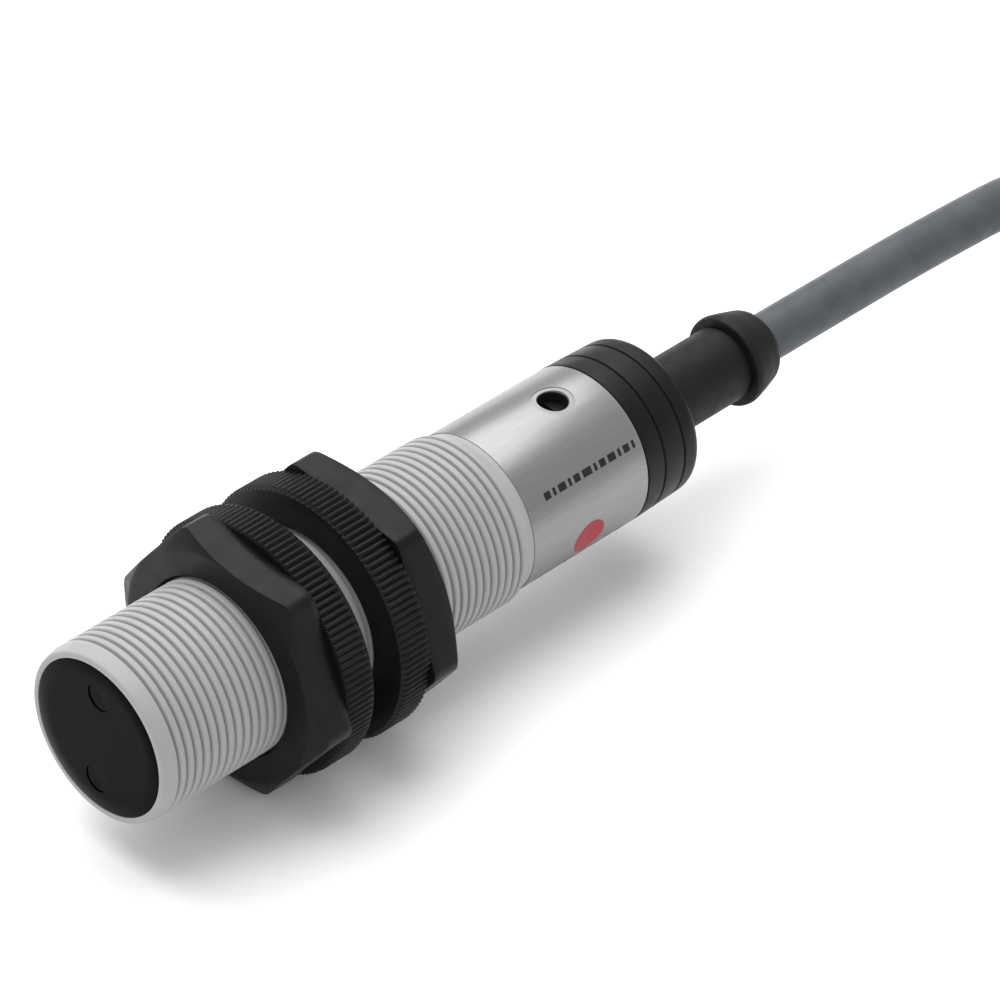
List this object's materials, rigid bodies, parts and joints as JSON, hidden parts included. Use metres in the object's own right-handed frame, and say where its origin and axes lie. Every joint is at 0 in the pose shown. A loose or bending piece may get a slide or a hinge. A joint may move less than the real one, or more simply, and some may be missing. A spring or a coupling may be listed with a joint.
{
  "type": "photoelectric sensor",
  "caption": "Cylindrical M18 plastic photoelectric sensor with two knurled clamping nuts, a sensitivity adjuster and a 2 m moulded cable in a tied hank.",
  "frame": {"origin": "centre of the front window's face, on the barrel's axis", "axes": "+Y along the barrel from the front face to the cable, +Z out through the adjuster hole, +X to the right seen from the cable end"},
  "size_m": [0.0485, 0.2651, 0.0264],
  "materials": {
    "light_plastic": "satin",
    "window_plastic": "gloss",
    "clear_plastic": "gloss",
    "black_plastic": "matte",
    "dark_plastic": "satin",
    "circuit_board": "satin",
    "contact_metal": "satin",
    "tinned_steel": "satin",
    "component_tan": "matte",
    "trimmer_blue": "satin",
    "silver_foil": "satin",
    "seal_rubber": "matte",
    "relief_rubber": "matte",
    "cable_sheath": "satin",
    "brown_core": "satin",
    "black_core": "satin",
    "blue_core": "satin"
  },
  "bodies": {
    "sensor": {"barrel_housing": "light_plastic", "front_window": "window_plastic", "lens_block": "clear_plastic", "optics_holder": "black_plastic", "emitter_led": "clear_plastic", "receiver_diode": "window_plastic", "optics_board": "circuit_board", "link_pins": "contact_metal", "main_board": "circuit_board", "shield_can": "tinned_steel", "signal_chip": "black_plastic", "output_transistor": "black_plastic", "ceramic_capacitors": "component_tan", "tantalum_capacitor": "component_tan", "chip_resistors": "black_plastic", "protection_diodes": "black_plastic", "status_leds": "clear_plastic", "trimmer_body": "trimmer_blue", "adjuster_bush": "black_plastic", "foil_label": "silver_foil", "rear_cap": "black_plastic", "cap_seal": "seal_rubber", "strain_relief": "relief_rubber", "cable_grip": "contact_metal", "cable_entry": "cable_sheath", "inner_core_brown": "brown_core", "inner_core_black": "black_core", "inner_core_blue": "blue_core", "cable_run": "cable_sheath", "cable_hank": "cable_sheath", "cable_tail": "cable_sheath", "cable_tie": "dark_plastic", "end_core_brown": "brown_core", "end_core_black": "black_core", "end_core_blue": "blue_core", "core_ferrules": "tinned_steel"},
    "adjuster": {"adjuster_spindle": "dark_plastic", "trimmer_rotor": "light_plastic", "adjuster_seal": "seal_rubber"},
    "front_clamp": {"front_nut": "black_plastic"},
    "rear_clamp": {"rear_nut": "black_plastic"}
  },
  "joints": [
    {"name": "adjuster_turn", "type": "hinge", "parent": "sensor", "child": "adjuster", "pos_m": [0, 0.0585, 0], "axis": [0, 0, 1], "range_deg": [-120, 120]},
    {"name": "front_nut_travel", "type": "slide", "parent": "sensor", "child": "front_clamp", "axis": [0, 1, 0], "range_m": [-0.012, 0.0015]},
    {"name": "rear_nut_travel", "type": "slide", "parent": "sensor", "child": "rear_clamp", "axis": [0, 1, 0], "range_m": [-0.0015, 0.012]}
  ]
}
